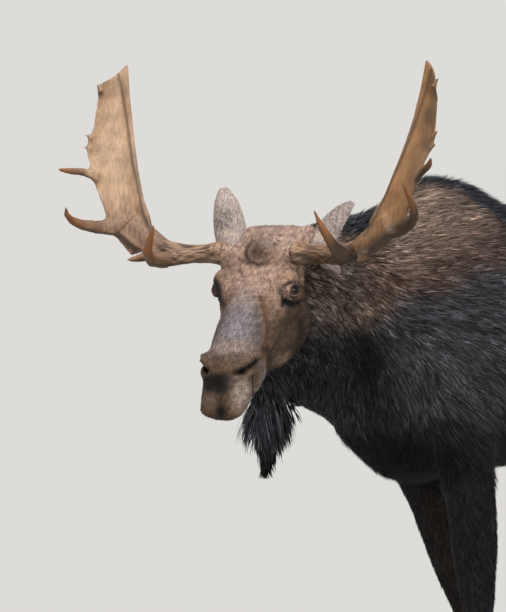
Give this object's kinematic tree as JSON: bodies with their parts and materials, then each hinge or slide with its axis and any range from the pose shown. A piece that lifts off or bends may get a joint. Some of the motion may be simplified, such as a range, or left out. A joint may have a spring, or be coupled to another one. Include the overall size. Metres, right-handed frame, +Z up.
{
  "type": "moose",
  "caption": "Life-size standing bull moose with broad palmed antlers, a hanging bell of throat hair and the head turned to its left.",
  "frame": {"origin": "on the floor, under the middle of the animal's box", "axes": "-Y is where the body faces, +X is to the animal's left, +Z is up"},
  "size_m": [1.1912, 2.5902, 2.249],
  "materials": {
    "body_fur": "soft coarse winter coat, brown over the hump, near black below",
    "mane_fur": "long coarse near-black hair with a cool sheen",
    "face_fur": "short close brown hair with a soft sheen",
    "ear_fur": "short pale hair flecked with black",
    "leg_fur": "short dense grey-brown hair",
    "bell_hair": "long hanging black hair",
    "antler": "hard bare antler, grooved, polished at the tips",
    "eye": "dark glossy eyeball",
    "horn": "dull dark hoof horn"
  },
  "bodies": {
    "root": {"tail": "body_fur", "dewclaw_left_fore_inner": "horn", "dewclaw_left_fore_outer": "horn", "dewclaw_right_fore_inner": "horn", "dewclaw_right_fore_outer": "horn", "dewclaw_left_hind_inner": "horn", "dewclaw_left_hind_outer": "horn", "dewclaw_right_hind_inner": "horn", "dewclaw_right_hind_outer": "horn", "trunk": "body_fur", "neck": "mane_fur", "head": "face_fur", "bell": "bell_hair", "ear_left": "ear_fur", "ear_right": "ear_fur", "hoof_left_fore_inner": "horn", "hoof_left_fore_outer": "horn", "leg_left_fore": "leg_fur", "hoof_right_fore_inner": "horn", "hoof_right_fore_outer": "horn", "leg_right_fore": "leg_fur", "hoof_left_hind_inner": "horn", "hoof_left_hind_outer": "horn", "leg_left_hind": "leg_fur", "hoof_right_hind_inner": "horn", "hoof_right_hind_outer": "horn", "leg_right_hind": "leg_fur", "antler_left_beam": "antler", "antler_left_brow_tine": "antler", "antler_left_palm": "antler", "antler_left_lower_tine": "antler", "antler_left_upper_tine": "antler", "antler_right_beam": "antler", "antler_right_brow_tine": "antler", "antler_right_palm": "antler", "antler_right_lower_tine": "antler", "antler_right_upper_tine": "antler", "eye_left": "eye", "eye_right": "eye"}
  },
  "joints": []
}
